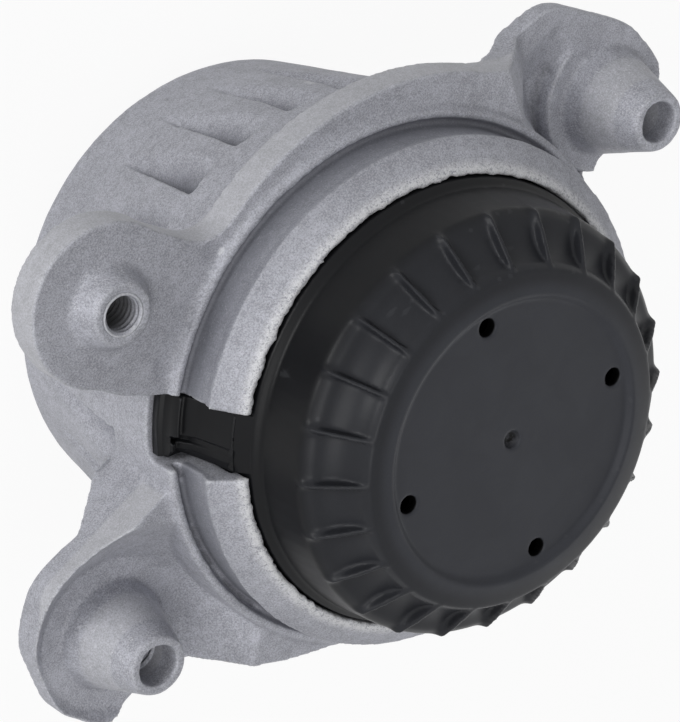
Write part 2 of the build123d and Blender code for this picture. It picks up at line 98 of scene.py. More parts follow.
# Bosses: angle, height of the thread's mouth and of its end
BOLT_CIRCLE_R = 73.5
BOSSES = {
    "left_thread": (120.0, 75.0, 62.5),
    "lower_thread": (180.0, 67.5, 54.0),
    "right_thread": (0.0, 65.0, 54.0),
}
BOSS_MOUTH_R = 4.2
# Bright flecks round a boss fade in over this distance from its axis and this height
FLECK_DISTANCES = (13.5, 9.0)
FLECK_HEIGHTS = (56.0, 62.0)
THREAD_R = 3.4
SLEEVE_R = 4.1  # widened hole that takes the thread's sleeve
SLEEVE_OUTER_R = 4.25  # the sleeve's outside, sunk in the wall
CORE_THREAD_R = 5.1
CORE_SLEEVE_R = 6.0
CORE_SLEEVE_OUTER_R = 6.1
CORE_THREAD_DEPTH = 27.5
CORE_HOLE_DEPTH = 28.0

# Right ear: its round pad, the slope beside it and the trench's fall over the distance
# from the boss's axis
PAD_R = 15.0
SLOPE_ANGLE = 165.0
EAR_LOW_Z = 45.0
TRENCH_FALL = ((4.0, 0.0), (10.0, 2.8), (18.0, 3.4), (23.0, 5.0), (26.8, 0.0))

# Cap
CAP_Z = 105.0
CAP_EDGE_R = 42.8
CAP_EDGE_Z = 97.6
CAP_EDGE_SPREAD = 2.8  # how far from its outer edge the shoulder is eased
DISC_R = 29.5
GATE_R = 1.7
VENT_R = 1.85
VENT_CIRCLE_R = 25.24
VENT_ANGLES = (-19.5, 70.5, 160.5, 250.5)

# Lug of the cap: the crest's height over the radius, and what is cut off it over the angle
LUG_ANGLES = (134.2, 148.7)
LUG_START_R = 45.0
LUG_END_R = 54.0
LUG_FLOOR_Z = 64.4
LUG_LOWEST_TOP_Z = 67.6
LUG_CREST = (
    (45.0, 84.0),
    (47.3, 80.6),
    (48.4, 76.4),
    (49.6, 72.6),
    (51.2, 70.0),
    (51.7, 69.8),
    (52.1, 70.8),
    (52.5, 70.8),
    (52.8, 70.3),
    (53.1, 66.8),
    (54.0, 66.2),
)
LUG_CUT = (
    (134.2, 0.8),
    (134.7, 0.0),
    (143.2, 0.0),
    (143.8, 2.8),
    (144.8, 2.8),
    (145.3, 1.2),
    (146.9, 1.5),
    (147.7, 3.0),
    (148.7, 4.6),
)
LUG_CUT_FADE = ((46.5, 0.0), (49.5, 1.0), (52.6, 1.0), (53.0, 0.0))
# Where the construction model's own lug ends under that skin: its foot, and all above it
LUG_FOOT_Z = 68.0
LUG_FOOT_END_R = 50.8
LUG_UPPER_END_R = 47.3

# Rebound buffer
BUFFER_INNER_R = 27.0
BUFFER_BUMP = 1.3
BUFFER_SQUARENESS = 0.22  # power of the superellipse: nearer to 0 is squarer
BUFFER_MARGIN = 0.02  # left free inside the node's box

# Camera, fitted to the photograph: focal length and long side of the picture in pixels
FOCAL_PX = 3500.0
LONG_SIDE_PX = 722.0
SENSOR_MM = 36.0
CAMERA_PLACE = (-157.0, 441.2, 565.0)
CAMERA_RIGHT = (0.66367, -0.45566, 0.59322)
CAMERA_UP = (0.71404, 0.62224, -0.32088)
CAMERA_BACK = (-0.22291, 0.63654, 0.73832)

# Floor: how far it goes from the axis, and how far it lies under the mount
FLOOR_REACH = 6000.0
FLOOR_DROP = 0.2

MOST_TRIANGLES = 190000  # of one piece
WELD_DISTANCE = 1e-6  # in metres, as Blender has it
TINY = 1e-6  # keeps a division away from 0


def polar(radius, angle):
    """Point at a radius and an angle in degrees, in millimetres."""
    turn = math.radians(angle)
    return np.array((radius * math.cos(turn), radius * math.sin(turn)))


def axis_distance(points):
    """Distance of each point from the upright axis."""
    return np.hypot(points[:, 0], points[:, 1])


def curve(places, pairs):
    """Value at each place on the straight lines through pairs of place and value."""
    return np.interp(places, *zip(*pairs))


# Meshes


def new_object(name, mesh, slot, *nodes):
    """Links a mesh as a piece that rides on the mount and stands for the named nodes."""
    piece = bpy.data.objects.new(name, mesh)
    bpy.context.scene.collection.objects.link(piece)
    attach(piece, BODY)
    if nodes:
        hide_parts(*nodes)
    return piece


def mesh_from(name, points, quads):
    """Smooth-shaded mesh from an array of points in millimetres and an array of quads."""
    mesh = bpy.data.meshes.new(name)
    mesh.vertices.add(len(points))
    mesh.vertices.foreach_set("co", (points * MM).astype(np.float32).ravel())
    mesh.loops.add(quads.size)
    mesh.loops.foreach_set("vertex_index", quads.astype(np.int32).ravel())
    mesh.polygons.add(len(quads))
    mesh.polygons.foreach_set("loop_start", np.arange(0, quads.size, 4, dtype=np.int32))
    mesh.update(calc_edges=True)
    mesh.validate()
    mesh.shade_smooth()
    return mesh


def ring_quads(rows, columns):
    """Quads of a grid that closes on itself both ways, like a torus."""
    row, column = np.meshgrid(np.arange(rows), np.arange(columns), indexing="ij")
    next_row, next_column = (row + 1) % rows, (column + 1) % columns
    corners = (
        row * columns + column,
        row * columns + next_column,
        next_row * columns + next_column,
        next_row * columns + column,
    )
    return np.stack(corners, axis=-1).reshape(-1, 4)


def weld(mesh, outwards=False):
    """Joins a mesh's doubled points, and turns its faces outwards where asked to."""
    shape = bmesh.new()
    shape.from_mesh(mesh)
    bmesh.ops.remove_doubles(shape, verts=shape.verts, dist=WELD_DISTANCE)
    if outwards:
        bmesh.ops.recalc_face_normals(shape, faces=shape.faces)
    shape.to_mesh(mesh)
    shape.free()
    return mesh


def turned_ring(name, radius, height, centre=(0.0, 0.0)):
    """Closed ring: a profile loop carried round the axis.

    radius and height are arrays of rows (round the profile) by columns (round the axis),
    so that x = r cos a, y = r sin a and z = height. The profile runs anticlockwise, seen
    with the radius to the right and the height up, so the faces point outwards.
    """
    rows, columns = radius.shape
    angle = np.linspace(0, 2 * np.pi, columns, endpoint=False)
    points = np.stack(
        (
            centre[0] + radius * np.cos(angle),
            centre[1] + radius * np.sin(angle),
            height + 0 * angle,
        ),
        axis=-1,
    )
    return mesh_from(name, points.reshape(-1, 3), ring_quads(rows, columns))


def lattice_noise(points, cell, seed):
    """Smooth noise from -1 to 1.

    Random values stand on a cubic lattice of the given cell, and each point blends the
    eight round it with the weight 3t^2 - 2t^3 along every axis.
    """
    size = 32
    table = np.random.default_rng(seed).uniform(-1, 1, (size, size, size))
    place = points / cell
    base = np.floor(place).astype(int)
    t = place - base
    t = t * t * (3 - 2 * t)
    total = np.zeros(len(points))
    for corner in np.ndindex(2, 2, 2):
        side = np.array(corner)
        weight = np.prod(np.where(side, t, 1 - t), axis=1)
        index = (base + side) % size
        total += weight * table[index[:, 0], index[:, 1], index[:, 2]]
    return total


def joined_copy(node):
    """Copy of a node's mesh with its loose triangles joined at their shared corners."""
    return weld(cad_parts[node].data.copy())


def mesh_points(mesh):
    """Vertex places of a mesh in millimetres."""
    points = np.empty(len(mesh.vertices) * 3, dtype=np.float32)
    mesh.vertices.foreach_get("co", points)
    return points.reshape(-1, 3).astype(float) / MM


def mesh_normals(mesh):
    """Vertex normals of a mesh."""
    normals = np.empty(len(mesh.vertices) * 3, dtype=np.float32)
    mesh.vertex_normals.foreach_get("vector", normals)
    return normals.reshape(-1, 3).astype(float)


def set_points(mesh, points):
    """Moves the vertices of a mesh to places in millimetres."""
    mesh.vertices.foreach_set("co", (points * MM).astype(np.float32).ravel())
    mesh.update()


def with_modifiers(mesh, *modifiers):
    """Mesh after a list of modifiers, each a type and its settings."""
    blank = bpy.data.objects.new("blank", mesh)
    bpy.context.scene.collection.objects.link(blank)
    for kind, settings in modifiers:
        modifier = blank.modifiers.new(kind.lower(), kind)
        for key, value in settings.items():
            setattr(modifier, key, value)
    depsgraph = bpy.context.evaluated_depsgraph_get()
    result = bpy.data.meshes.new_from_object(blank.evaluated_get(depsgraph))
    bpy.data.objects.remove(blank)
    return result


def rounded(mesh, cell, passes):
    """Even skin of small quads over a mesh, eased so that edges and inner corners are round."""
    return with_modifiers(
        mesh,
        ("REMESH", {"mode": "VOXEL", "voxel_size": cell * MM, "use_smooth_shade": True}),
        ("SMOOTH", {"factor": 0.5, "iterations": passes}),
    )


def thinned(mesh, most):
    """Mesh with no more than a number of triangles."""
    mesh.calc_loop_triangles()
    count = len(mesh.loop_triangles)
    if count > most:
        mesh = with_modifiers(mesh, ("DECIMATE", {"ratio": most / count}))
    mesh.shade_smooth()
    return mesh


def ease(mesh, weight, passes):
    """Rounds part of a mesh.

    Each pass moves every point towards the mean of its neighbours, by the point's weight.
    """
    points = mesh_points(mesh)
    count = len(points)
    ends = np.empty(len(mesh.edges) * 2, dtype=np.int32)
    mesh.edges.foreach_get("vertices", ends)
    first, last = ends.reshape(-1, 2).T
    step = weight(points)[:, None]
    share = np.maximum(np.bincount(ends, minlength=count), 1)[:, None]
    for _ in range(passes):
        total = [
            np.bincount(first, points[last, axis], count)
            + np.bincount(last, points[first, axis], count)
            for axis in range(3)
        ]
        points += step * (np.stack(total, axis=-1) / share - points)
    set_points(mesh, points)


def widen_hole(points, centre, inner, outer, low, high):
    """Pushes the wall of an upright hole out to a larger radius, for a thread sleeve."""
    offset = points[:, :2] - centre
    distance = axis_distance(offset)
    wall = (distance < inner + 0.05) & (distance > 0.5 * inner)
    wall &= (points[:, 2] > low) & (points[:, 2] < high)
    scale = np.where(wall, outer / np.maximum(distance, TINY), 1.0)
    points[:, :2] = centre + offset * scale[:, None]


# Materials


class Link:
    """One shader socket. Sums on it add Math nodes to its material."""

    def __init__(self, finish, socket):
        self.finish = finish
        self.socket = socket

    def math(self, operation, *others):
        """Math node over this value and the others."""
        return self.finish.node(
            "ShaderNodeMath", {"operation": operation}, dict(enumerate((self,) + others))
        )

    def __add__(self, other):
        return self.math("ADD", other)

    def __sub__(self, other):
        return self.math("SUBTRACT", other)

    def __mul__(self, other):
        return self.math("MULTIPLY", other)

    def __pow__(self, other):
        return self.math("POWER", other)

    __radd__ = __add__
    __rmul__ = __mul__

    def clamp(self):
        """The value held between 0 and 1."""
        return self.math("MAXIMUM", 0.0).math("MINIMUM", 1.0)

    def step(self, low, high):
        """Smooth step from 0 at low to 1 at high, where low may be the larger one."""
        return self.finish.node(
            "ShaderNodeMapRange",
            {"interpolation_type": "SMOOTHSTEP"},
            {0: self, 1: low, 2: high, 3: 0.0, 4: 1.0},
        )


class Finish:
    """A material and the nodes that make it."""

    def __init__(self, name, **shader):
        self.material = bpy.data.materials.new(name)
        self.material.use_nodes = True
        self.tree = self.material.node_tree
        self.shader = self.tree.nodes["Principled BSDF"]
        for key, value in shader.items():
            self.shader.inputs[key.replace("_", " ")].default_value = value
        self.place = self.node("ShaderNodeTexCoord", {}, {}, "Object")
        self.axes = {
            axis: self.node("ShaderNodeSeparateXYZ", {}, {"Vector": self.place}, axis) * 1000.0
            for axis in "XYZ"
        }

    def node(self, kind, settings, inputs, output=0):
        """Adds a node: its settings first, then a value or a link for each socket."""
        node = self.tree.nodes.new(kind)
        for key, value in settings.items():
            setattr(node, key, value)
        for key, value in inputs.items():
            if isinstance(value, Link):
                self.tree.links.new(value.socket, node.inputs[key])
            else:
                node.inputs[key].default_value = value
        return Link(self, node.outputs[output])

    def reach(self, x=0.0, y=0.0):
        """Distance in millimetres from the upright line through x and y."""
        across, along = self.axes["X"] - x, self.axes["Y"] - y
        return (across * across + along * along) ** 0.5

    def noise(self, size_mm, detail=2.0, roughness=0.5, distortion=0.0):
        """Noise whose lumps are about size_mm across."""
        return self.node(
            "ShaderNodeTexNoise",
            {},
            {
                "Vector": self.place,
                "Scale": 1.0 / (size_mm * MM),
                "Detail": detail,
                "Roughness": roughness,
                "Distortion": distortion,
            },
        )

    def mix(self, factor, low, high):
        """Colour between low and high."""
        colours = {
            key: value if isinstance(value, Link) else (*value, 1.0)
            for key, value in ((6, low), (7, high))
        }
        return self.node("ShaderNodeMix", {"data_type": "RGBA"}, {0: factor, **colours}, 2)

    def bump(self, height, depth_mm, strength=1.0, under=None):
        """Bump of a height field whose range stands for depth_mm."""
        inputs = {"Strength": strength, "Distance": depth_mm * MM, "Height": height}
        if under:
            inputs["Normal"] = under
        return self.node("ShaderNodeBump", {}, inputs)

    def feed(self, **links):
        """Links values to the main shader's sockets."""
        for key, value in links.items():
            self.tree.links.new(value.socket, self.shader.inputs[key.replace("_", " ")])
        return self.material


def shade(factor, colour):
    """Colour made darker or paler by a factor, and held at white."""
    return tuple(min(1.0, factor * part) for part in colour)


def seen_rays(tree):
    """Socket that is 1 for camera, glossy and transmission rays, and otherwise 0."""
    path = tree.nodes.new("ShaderNodeLightPath")
    rays = path.outputs["Is Camera Ray"]
    for ray in ("Is Glossy Ray", "Is Transmission Ray"):
        either = tree.nodes.new("ShaderNodeMath")
        either.operation = "MAXIMUM"
        tree.links.new(rays, either.inputs[0])
        tree.links.new(path.outputs[ray], either.inputs[1])
        rays = either.outputs[0]
    return rays


def dress(piece, material):
    """Gives a piece one material all over."""
    piece.data.materials.clear()
    piece.data.materials.append(material)
    for material_slot in piece.material_slots:
        material_slot.material = material


# What each mask of the casting mixes in: its strength and its colour
CASTING_TONES = {
    # painted shade in the cooling pockets
    "pocket": (0.7, (0.12, 0.125, 0.15)),
    # paler trim on the side faces of flange and ears, partly a painted highlight
    "trim_and_highlight": (0.3, (0.62, 0.62, 0.63)),
    # painted shade round the collar
    "valley_shade": (0.78, (0.14, 0.145, 0.17)),
    "crust": (0.75, (0.78, 0.78, 0.79)),
    "fleck": (0.85, (0.8, 0.8, 0.82)),
    "worn": (1.0, (0.72, 0.73, 0.75)),
    # painted shade in inner corners
    "corner_shade": (0.65, (0.10, 0.10, 0.115)),
    # painted shade deep in the boss holes
    "hole": (0.88, (0.012, 0.012, 0.013)),
}


def casting_masks(finish, rim, grain, flakes):
    """Where each of the casting's tones lies, in the order in which they are laid on."""
    height, reach = finish.axes["Z"], finish.reach()
    edge = finish.node("ShaderNodeNewGeometry", {}, {}, "Pointiness")
    normal = finish.node("ShaderNodeNewGeometry", {}, {}, "Normal")
    lean = finish.node("ShaderNodeSeparateXYZ", {}, {"Vector": normal}, "Z").math("ABSOLUTE")

    rise = ((height - WALL_REAR_Z) * (1 / WALL_RISE)).clamp()
    wall = WALL_R - WALL_TAPER + WALL_TAPER * rise
    # Painted shade: the cooling pockets darken with their depth in from the tapered wall
    pocket = (wall - reach).step(0.6, 4.6) * height.step(WALL_REAR_Z, WALL_REAR_Z + 3.0)
    pocket = pocket * height.step(FLANGE_BACK_Z, FLANGE_BACK_Z - 2.0)
    pocket = pocket * reach.step(BORE_R + 0.2, BORE_R + 0.7)

    # Paler side faces of flange and ears: their trim, and partly a painted highlight
    trim_and_highlight = lean.step(0.5, 0.2) * height.step(FLANGE_BACK_Z - 0.6, FLANGE_BACK_Z + 0.6)
    trim_and_highlight = trim_and_highlight * height.step(FLANGE_Z + 0.4, FLANGE_Z - 0.4)
    trim_and_highlight = trim_and_highlight * reach.step(LEDGE_R + 0.5, LEDGE_R + 1.5)

    # Painted shade on the collar's wall, between the flange and the rolled rim
    valley_shade = reach.step(COLLAR_R + 2.2, COLLAR_R + 1.4) * height.step(RIM_Z - 1.0, FLANGE_Z + 1.0)
    valley_shade = valley_shade * height.step(FLANGE_Z - 0.5, FLANGE_Z + 0.5)
    valley_shade = valley_shade * reach.step(COLLAR_R - 1.8, COLLAR_R - 0.8)

    flecked = rim
    hole = 0.0
    for angle, mouth, _ in BOSSES.values():
        away = finish.reach(*polar(BOLT_CIRCLE_R, angle))
        flecked = flecked + away.step(*FLECK_DISTANCES) * height.step(*FLECK_HEIGHTS) * 0.45
        # Painted shade: each boss hole goes dark with depth below its mouth
        inside = away.step(BOSS_MOUTH_R + 0.3, BOSS_MOUTH_R)
        hole = inside * height.step(mouth - 0.4, mouth - 5.0) + hole
    fleck = flakes.step(0.54, 0.64) * grain.step(0.46, 0.62)
    return {
        "pocket": pocket,
        "trim_and_highlight": trim_and_highlight,
        "valley_shade": valley_shade,
        "crust": rim * (0.6 * flakes + 0.4 * grain).step(0.40, 0.52),
        "fleck": (fleck * (0.2 + flecked)).clamp(),
        "worn": edge.step(0.515, 0.58) * (0.2 + 0.4 * grain),
        # painted shade in inner corners, where the pointiness is low
        "corner_shade": edge.step(0.495, 0.43),
        "hole": hole.clamp(),
    }


def cast_aluminium(settings):
    """Shot-blasted die casting.

    Sandy grey and paler on worn edges. The side faces of flange and ears are paler for
    their trim and partly as a painted highlight. Painted shade darkens the cooling pockets,
    the inner corners and the hollow round the collar. Bright flakes stand along the rolled
    rim and round the bosses, and painted shade turns the holes dark with depth.
    """
    finish = Finish("cast_aluminium", Metallic=settings.metal, Roughness=0.6)
    clouds = finish.noise(14.0, 3.0, 0.55)
    blotches = finish.noise(2.2, 4.0, 0.65, 0.3)
    grain = finish.noise(0.34, 3.0, 0.8)
    flakes = finish.noise(1.0, 4.0, 0.8, 0.8)
    height, reach = finish.axes["Z"], finish.reach()
    rim = reach.step(RIM_R + 3.2, RIM_R + 1.0) * height.step(RIM_Z - 3.0, RIM_Z - 1.0)
    tone = (0.12 * clouds + 0.2 * blotches + 0.68 * grain).step(0.38, 0.62)
    colour = finish.mix(tone, shade(0.60, settings.colour), shade(1.15, settings.colour))
    for part, mask in casting_masks(finish, rim, grain, flakes).items():
        strength, tint = CASTING_TONES[part]
        colour = finish.mix(mask * strength, colour, tint)
    lumps = finish.bump(blotches + rim * flakes * 3.0, 0.06, 0.8)
    return finish.feed(
        Base_Color=colour,
        Roughness=0.5 + 0.24 * grain,
        Normal=finish.bump(grain, 0.06, 1.0, lumps),
    )


def turned_aluminium(name, colour):
    """Machined aluminium: fine rings round the mount's axis."""
    finish = Finish(name, Metallic=0.9, Roughness=0.35)
    rings = finish.node(
        "ShaderNodeTexWave",
        {"wave_type": "RINGS", "rings_direction": "Z"},
        {"Vector": finish.place, "Scale": 900.0, "Distortion": 1.5, "Detail": 2.0},
    )
    patches = finish.noise(5.0, 3.0)
    tone = (0.5 * rings + 0.6 * patches).step(0.2, 1.0)
    colour = finish.mix(tone, shade(0.8, colour), colour)
    return finish.feed(
        Base_Color=colour,
        Roughness=0.3 + 0.2 * patches,
        Normal=finish.bump(rings, 0.01, 0.5),
    )


def moulded_plastic(settings):
    """Black glass-filled nylon.

    The sunk disc is the roughest part and the palest, partly for its matt grain and partly
    as painted light from above. The ribbed shoulder is about half as pale, and the smooth
    side under it is nearly black, both in painted shade. The vents and the gate's pit are
    black inside, in painted shade, and a painted highlight makes the edges paler.
    """
    finish = Finish("moulded_plastic", Roughness=0.45)
    finish.shader.inputs["Specular IOR Level"].default_value = 0.15
    flow = finish.noise(9.0, 3.0, 0.6, 0.8)
    grain = finish.noise(0.35, 2.0, 0.6)
    edge = finish.node("ShaderNodeNewGeometry", {}, {}, "Pointiness").step(0.52, 0.62)
    height, reach = finish.axes["Z"], finish.reach()
    # Painted light and shade by zone: the disc palest (partly its matt grain), the shoulder half
    # as pale, the side under it darkest
    disc = height.step(CAP_Z - 1.6, CAP_Z - 0.2) * reach.step(DISC_R + 3.0, DISC_R)
    shoulder = height.step(CAP_EDGE_Z - 3.0, CAP_EDGE_Z + 1.0)
    colour = finish.mix(shoulder, shade(0.14, settings.colour), shade(0.55, settings.colour))
    colour = finish.mix(disc, colour, tuple(settings.colour))
    mottle = (0.6 * flow + 0.4 * grain).step(0.3, 0.7)
    colour = finish.mix(mottle * 0.14, colour, (0.0, 0.0, 0.0))
    # Painted highlight: convex edges and rib crests are paler
    colour = finish.mix(edge * 0.2, colour, (0.08, 0.082, 0.09))
    # Painted shade: the gate's pit and the vents go black inside
    pit_shade = reach.step(GATE_R, GATE_R - 0.8) * finish.noise(0.9, 3.0).step(0.45, 0.55)
    for angle in VENT_ANGLES:
        away = finish.reach(*polar(VENT_CIRCLE_R, angle))
        inside = away.step(VENT_R + 0.25, VENT_R - 0.05)
        pit_shade = inside * height.step(CAP_Z - 0.1, CAP_Z - 0.4) + pit_shade
    colour = finish.mix(pit_shade.clamp(), colour, (0.001, 0.001, 0.001))
    return finish.feed(
        Base_Color=colour,
        Roughness=0.30 + 0.08 * flow + 0.06 * grain + 0.14 * disc,
        Normal=finish.bump(grain, 0.02, 0.5),
    )


def soft_rubber(name, colour):
    """Matt black rubber with a dusty bloom."""
    finish = Finish(name, Roughness=0.7)
    finish.shader.inputs["IOR"].default_value = 1.45
    bloom = finish.noise(6.0, 4.0, 0.6)
    skin = finish.noise(0.6, 3.0, 0.6)
    tinted = finish.mix(bloom.step(0.35, 0.75), colour, shade(2.2, colour))
    return finish.feed(
        Base_Color=tinted,
        Roughness=0.6 + 0.25 * bloom,
        Normal=finish.bump(skin, 0.04, 0.6),
    )


def plated_steel(name, colour):
    """Zinc-plated steel: cool grey, slightly clouded."""
    finish = Finish(name, Metallic=1.0, Roughness=0.4)
    clouds = finish.noise(4.0, 4.0, 0.6)
    fine = finish.noise(0.5, 2.0)
    tinted = finish.mix(clouds.step(0.3, 0.7), shade(0.75, colour), colour)
    return finish.feed(
        Base_Color=tinted,
        Roughness=0.32 + 0.2 * clouds,
        Normal=finish.bump(fine, 0.01, 0.4),
    )


# Settings


class CastingSettings(bpy.types.PropertyGroup):
    """Sizes and colours of the cast housing."""

    colour: FloatVectorProperty(
        name="Colour",
        description="Mean colour of the blasted aluminium",
        default=(0.45, 0.455, 0.503),
        subtype="COLOR",
        min=0.0,
        max=1.0,
    )
    metal: FloatProperty(
        name="Metal",
        description="How metallic the casting looks",
        default=0.22,
        subtype="FACTOR",
        min=0.0,
        max=1.0,
    )
    cell: FloatProperty(
        name="Skin cell",
        description="Size of the quads of the casting's skin, in millimetres",
        default=0.5,
        min=0.3,
        max=2.0,
    )
    passes: IntProperty(
        name="Rounding",
        description="How far edges and inner corners are eased",
        default=5,
        min=0,
        max=40,
    )
    rag: FloatProperty(
        name="Ragged rim",
        description="How ragged the edge of the rolled rim is, in millimetres",
        default=0.32,
        min=0.0,
        max=2.0,
    )


class ThreadSettings(bpy.types.PropertyGroup):
    """Sizes of the threads."""

    pitch: FloatProperty(
        name="Pitch",
        description="Pitch of the boss threads, in millimetres",
        default=1.25,
        min=0.5,
        max=3.0,
    )
    depth: FloatProperty(
        name="Depth",
        description="Depth of the thread's groove, in millimetres",
        default=0.6,
        min=0.1,
        max=1.5,
    )


class CapSettings(bpy.types.PropertyGroup):
    """Sizes and colours of the moulded cap."""

    colour: FloatVectorProperty(
        name="Colour",
        description="Colour of the black plastic",
        default=(0.046, 0.048, 0.056),
        subtype="COLOR",
        min=0.0,
        max=1.0,
    )
    cell: FloatProperty(
        name="Skin cell",
        description="Size of the quads of the cap's skin, in millimetres",
        default=0.36,
        min=0.2,
        max=2.0,
    )
    passes: IntProperty(
        name="Rounding",
        description="How far the outer edge of the shoulder and the rib ends are eased",
        default=30,
        min=0,
        max=100,
    )


class RubberSettings(bpy.types.PropertyGroup):
    """Colour and bumps of the rubber parts."""

    colour: FloatVectorProperty(
        name="Colour",
        description="Colour of the rubber",
        default=(0.02, 0.02, 0.021),
        subtype="COLOR",
        min=0.0,
        max=1.0,
    )
    bumps: IntProperty(
        name="Bumps",
        description="Number of bumps round the rebound buffer",
        default=18,
        min=0,
        max=60,
    )


class StageSettings(bpy.types.PropertyGroup):
    """Strengths of the lights."""

    key: FloatProperty(
        name="Key light",
        description="Power of the main soft light",
        default=18.0,
        min=0.0,
        unit="POWER",
    )
    sky: FloatProperty(
        name="Room light",
        description="Strength of the even light from all round",
        default=0.24,
        min=0.0,
        max=2.0,
    )


# Pieces


class MOUNT_OT_housing(bpy.types.Operator):
    """Gives the cast housing its rounded edges, deeper hollows, ragged rim and blasted surface"""

    bl_idname = "mount.housing"
    bl_label = "Cast housing"

    def execute(self, context):
        settings = context.scene.mount_casting
        mesh = joined_copy("housing")
        points = mesh_points(mesh)
        for angle, mouth, end in BOSSES.values():
            centre = polar(BOLT_CIRCLE_R, angle)
            widen_hole(points, centre, THREAD_R, SLEEVE_R, end - 10.0, mouth + 0.1)
        set_points(mesh, points)
        mesh = rounded(mesh, settings.cell, settings.passes)
        self.deepen(mesh)
        self.trench(mesh)
        self.roughen(mesh, settings)
        mesh = thinned(mesh, MOST_TRIANGLES)
        piece = new_object("housing_casting", mesh, "cast_aluminium", "housing")
        dress(piece, cast_aluminium(settings))
        return {"FINISHED"}

    def deepen(self, mesh):
        """Draws the floors of the cooling pockets in, by a share of their depth.

        The depth is the distance in from the tapered wall, whose radius grows with the
        height and then stays even.
        """
        points = mesh_points(mesh)
        reach = axis_distance(points)
        rise = np.clip((points[:, 2] - WALL_REAR_Z) / WALL_RISE, 0, 1)
        depth = WALL_R - WALL_TAPER + WALL_TAPER * rise - reach
        low, high = WALL_REAR_Z + 3.0, FLANGE_BACK_Z - 3.0
        floor = (reach > BORE_R + 0.7) & (points[:, 2] > low) & (points[:, 2] < high)
        draw = np.where(floor, POCKET_DEEPENING * np.maximum(depth - POCKET_SHALLOW, 0.0), 0.0)
        points[:, :2] *= (1 - draw / np.maximum(reach, TINY))[:, None]
        set_points(mesh, points)

    def trench(self, mesh):
        """Sinks a trench between the right ear's round pad and the slope up to the flange.

        The fall is nought on the pad, drops at once at its edge, grows under the slope and
        ends at the slope's top. Both faces of the ear sink together, so its wall stays even.
        """
        points = mesh_points(mesh)
        offset = points[:, :2] - polar(BOLT_CIRCLE_R, 0.0)
        away = axis_distance(offset)
        along = offset @ polar(1.0, SLOPE_ANGLE)
        side = np.degrees(np.arctan2(offset[:, 1], offset[:, 0])) % 360
        climb = np.where(side < SLOPE_ANGLE, along, away)
        fall = curve(climb, TRENCH_FALL)
        fall *= np.interp(away, (PAD_R, PAD_R + 0.7), (0.0, 1.0))
        reach = axis_distance(points)
        fall *= np.interp(reach, (LEDGE_R + 0.8, LEDGE_R + 3.5), (0.0, 1.0))
        fall *= np.interp(offset[:, 1], (16.0, 23.0), (1.0, 0.0))
        points[:, 2] -= np.where(points[:, 2] > EAR_LOW_Z, fall, 0.0)
        set_points(mesh, points)

    def roughen(self, mesh, settings):
        """Moves the skin: a ragged lip on the rolled rim and a slight waviness elsewhere.

        Waviness is noise along the normal. At the rim, finer noise moves the points inwards
        or outwards, weighted by their nearness to the rim.
        """
        points = mesh_points(mesh)
        normals = mesh_normals(mesh)
        wave = 0.05 * lattice_noise(points, 5.0, 3) + 0.035 * lattice_noise(points, 1.6, 4)
        points += normals * wave[:, None]
        radius = axis_distance(points)
        near = np.exp(-(((radius - RIM_R) / 0.9) ** 2) - ((points[:, 2] - RIM_Z) / 0.9) ** 2)
        tooth = lattice_noise(points, 0.8, 5) + 0.7 * lattice_noise(points, 1.9, 6)
        shift = settings.rag * near * tooth
        points[:, :2] -= points[:, :2] / radius[:, None] * shift[:, None]
        points[:, 2] += 0.5 * shift
        set_points(mesh, points)


class MOUNT_OT_threads(bpy.types.Operator):
    """Cuts the threads of the three bosses and of the core"""

    bl_idname = "mount.threads"
    bl_label = "Threads"

    def execute(self, context):
        settings = context.scene.mount_threads
        casting = bpy.data.objects["housing_casting"].active_material
        for name, (angle, mouth, end) in BOSSES.items():
            centre = polar(BOLT_CIRCLE_R, angle)
            radii = (THREAD_R, SLEEVE_OUTER_R)
            mesh = self.sleeve(name, centre, mouth, end, radii, settings)
            dress(new_object(name, mesh, "cast_aluminium"), casting)
        radii = (CORE_THREAD_R, CORE_SLEEVE_OUTER_R)
        mesh = self.sleeve(
            "core_thread", (0.0, 0.0), 0.0, CORE_THREAD_DEPTH, radii, settings
        )
        dress(
            new_object("core_thread", mesh, "turned_aluminium"),
            turned_aluminium("thread_aluminium", (0.6, 0.6, 0.62)),
        )
        return {"FINISHED"}

    def sleeve(self, name, centre, mouth, end, radii, settings):
        """Threaded sleeve from its mouth to its end.

        The groove's depth at height z and angle a is a flattened wave of
        z / pitch - a / turn. It fades in over the first turn, where a small chamfer opens
        the hole.
        """
        columns = 72
        minor, outer = radii
        top, bottom = max(mouth, end) - 0.02, min(mouth, end) + 0.02
        rows = int((top - bottom) / settings.pitch * 10)
        height = np.linspace(top, bottom, rows)[:, None]
        turn = np.linspace(0, 1, columns, endpoint=False)[None, :]
        phase = (height / settings.pitch - turn) % 1.0
        groove = np.clip(1.6 - np.abs(phase - 0.5) * 4.4, 0.0, 1.0)
        inside = np.abs(height - mouth)
        fade = np.clip(inside / settings.pitch, 0.0, 1.0)
        chamfer = np.clip(0.5 - inside, 0.0, 0.5)
        wall = minor + np.minimum(groove * settings.depth * fade + chamfer, outer - minor - 0.15)
        radius = np.concatenate((wall, np.full((2, columns), outer)))
        height = np.concatenate((height, height[-1:], height[:1])) + 0 * turn
        return turned_ring(name, radius, height, centre)


